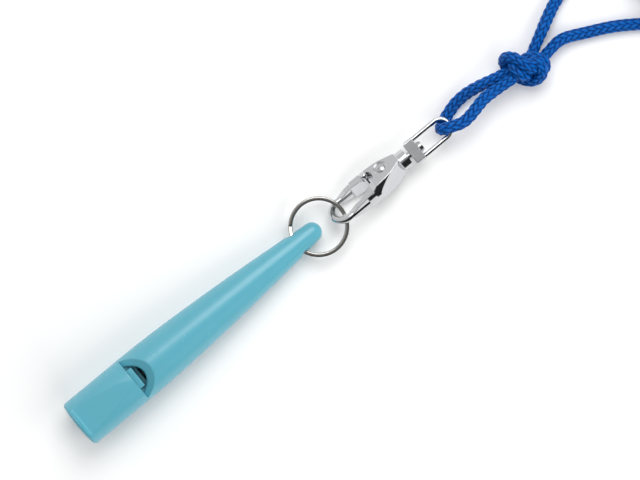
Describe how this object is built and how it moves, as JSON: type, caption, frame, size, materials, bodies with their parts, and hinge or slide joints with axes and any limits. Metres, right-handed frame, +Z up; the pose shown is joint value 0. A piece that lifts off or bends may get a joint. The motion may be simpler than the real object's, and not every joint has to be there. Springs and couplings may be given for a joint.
{
  "type": "dog whistle",
  "caption": "Pealess moulded dog whistle with a tapered barrel and half-moon window, on a split ring with a swivel snap hook and a knotted braided neck lanyard.",
  "frame": {"origin": "on the surface that the whistle lies on, below the middle of the whistle, ring and hook taken together without the lanyard", "axes": "+X from the mouth end along the whistle to the lanyard, +Z up, the window facing up"},
  "size_m": [0.2387, 0.032, 0.0183],
  "materials": {
    "whistle_abs": "moulded gloss",
    "ring_steel": "nickel plated",
    "hook_chrome": "chrome plated die casting",
    "pin_steel": "plated",
    "spring_steel": "drawn wire",
    "lanyard_cord": "braided",
    "tie_strap": "woven"
  },
  "bodies": {
    "whistle": {"barrel": "whistle_abs", "mouthpiece": "whistle_abs", "fipple_block": "whistle_abs"},
    "ring": {"split_ring": "ring_steel"},
    "hook": {"hook_body": "hook_chrome", "gate_pin": "pin_steel", "gate_spring": "spring_steel", "swivel_pin": "pin_steel"},
    "gate": {"gate": "hook_chrome"},
    "swivel": {"swivel_eye": "hook_chrome", "lanyard_bight": "lanyard_cord", "lanyard_knot": "lanyard_cord", "lanyard_top_leg": "lanyard_cord", "lanyard_right_leg": "lanyard_cord", "lanyard_hank": "lanyard_cord", "hank_tie": "tie_strap"}
  },
  "joints": [
    {"name": "ring_swing", "type": "hinge", "parent": "whistle", "child": "ring", "pos_m": [0.01168, 0, 0.00414], "axis": [0, 1, 0], "range_deg": [-100, 100]},
    {"name": "hook_slide", "type": "hinge", "parent": "ring", "child": "hook", "pos_m": [0.01877, 0, 0.00442], "axis": [-0.038, -0.0872, 0.9955], "range_deg": [-85, 85]},
    {"name": "gate_open", "type": "hinge", "parent": "hook", "child": "gate", "pos_m": [0.04086, -0.00018, 0.00423], "axis": [0, 0.6691, 0.7431], "range_deg": [0, 22], "stiffness_Nm_per_rad": 0.003, "springref_deg": -28.65, "deforming": ["gate_spring"]},
    {"name": "swivel_turn", "type": "hinge", "parent": "hook", "child": "swivel", "pos_m": [0.04916, -0.0007, 0.0047], "axis": [1, 0, 0], "continuous": true}
  ]
}
